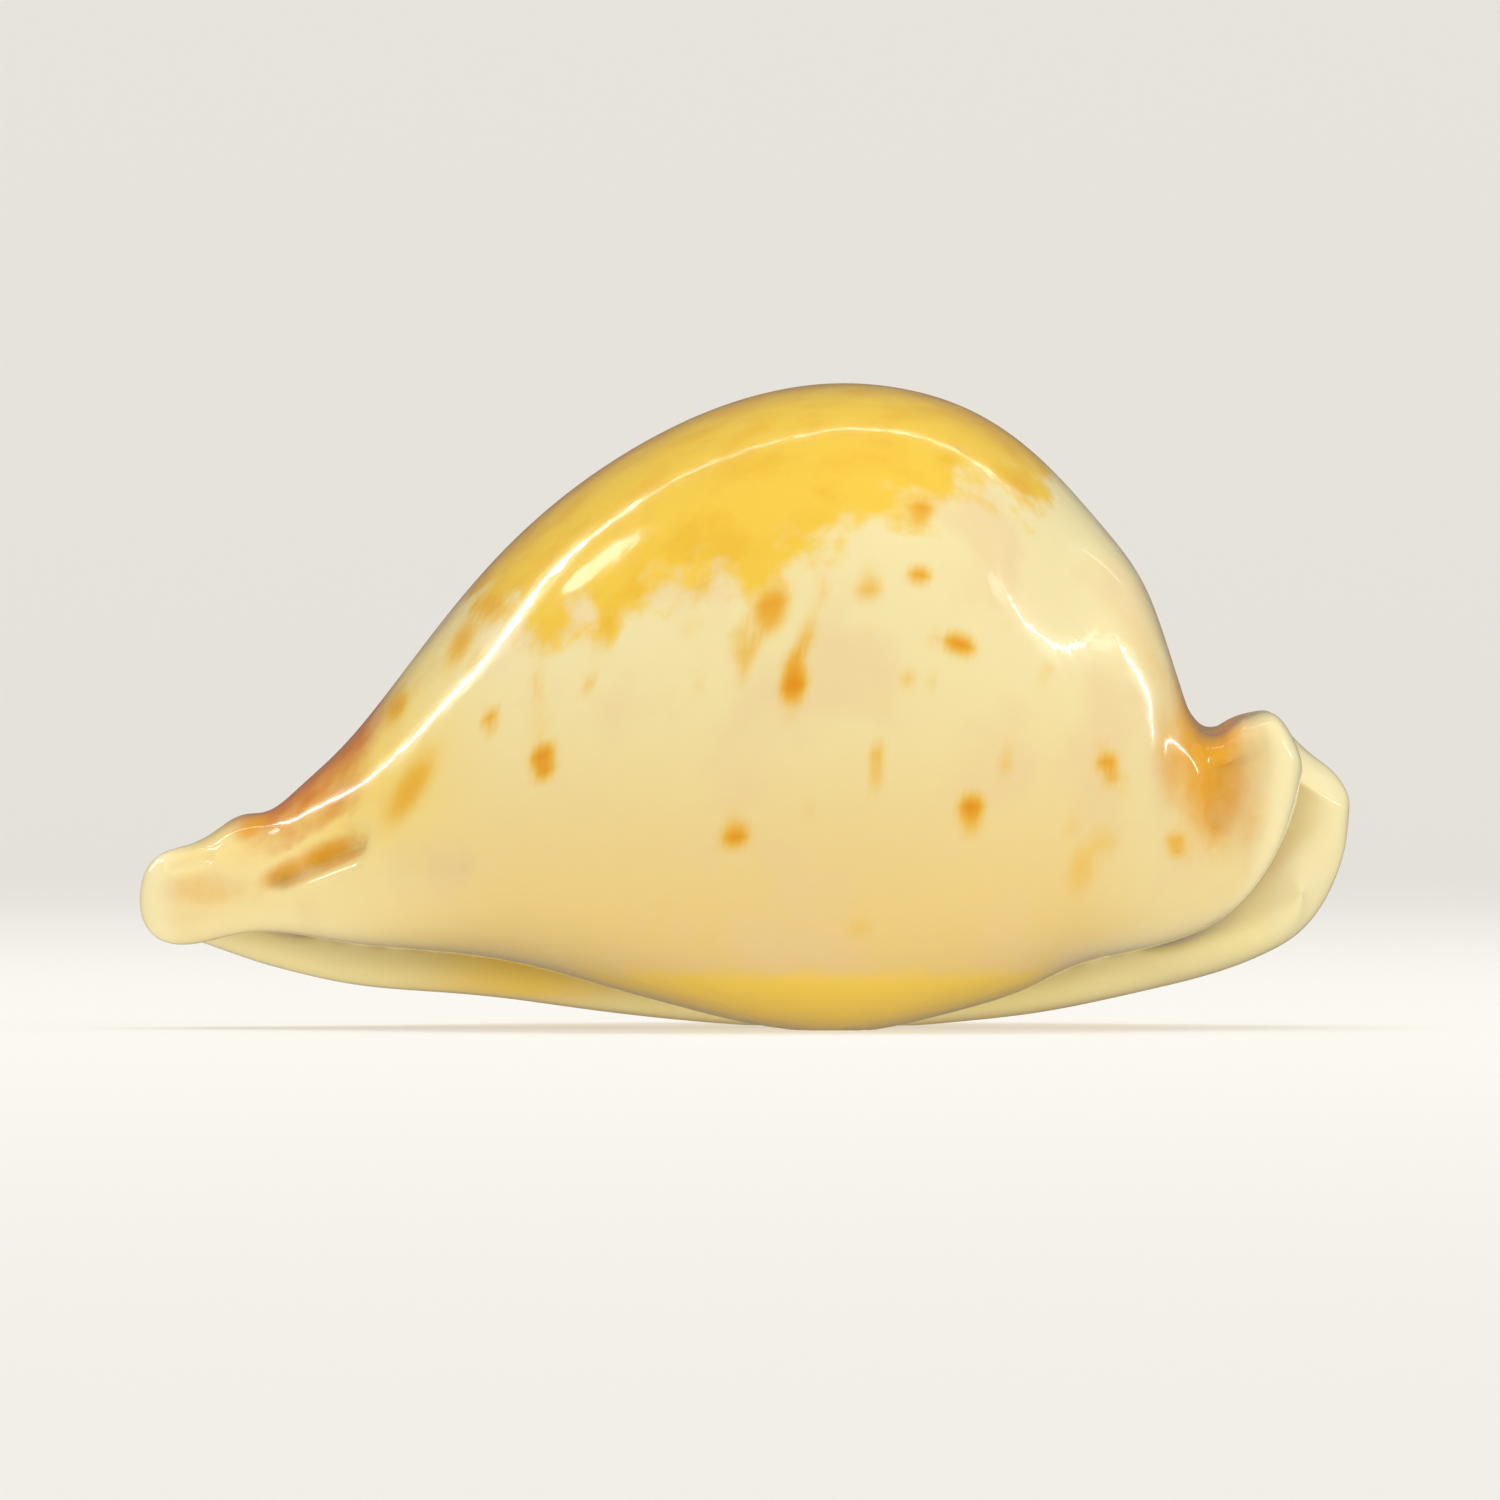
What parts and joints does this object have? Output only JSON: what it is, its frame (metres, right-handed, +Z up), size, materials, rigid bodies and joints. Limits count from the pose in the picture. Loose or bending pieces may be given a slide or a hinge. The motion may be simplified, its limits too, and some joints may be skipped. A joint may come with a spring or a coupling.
{
  "type": "cowry shell",
  "caption": "Whole armeniaca cowry shell lying on its base: domed back, toothed lips along a long aperture, front beak and rear collar.",
  "frame": {"origin": "on the resting plane, under the middle of the shell's bounding box", "axes": "+X along the shell towards the rear collar, +Y towards the outer lip's side, +Z up out of the back"},
  "size_m": [0.0968, 0.0636, 0.0516],
  "materials": {
    "shell_surface": "glossy cream shell glaze with warm yellow back, orange blotches and soft orange spots"
  },
  "bodies": {
    "root": {"shell": "shell_surface"}
  },
  "joints": []
}
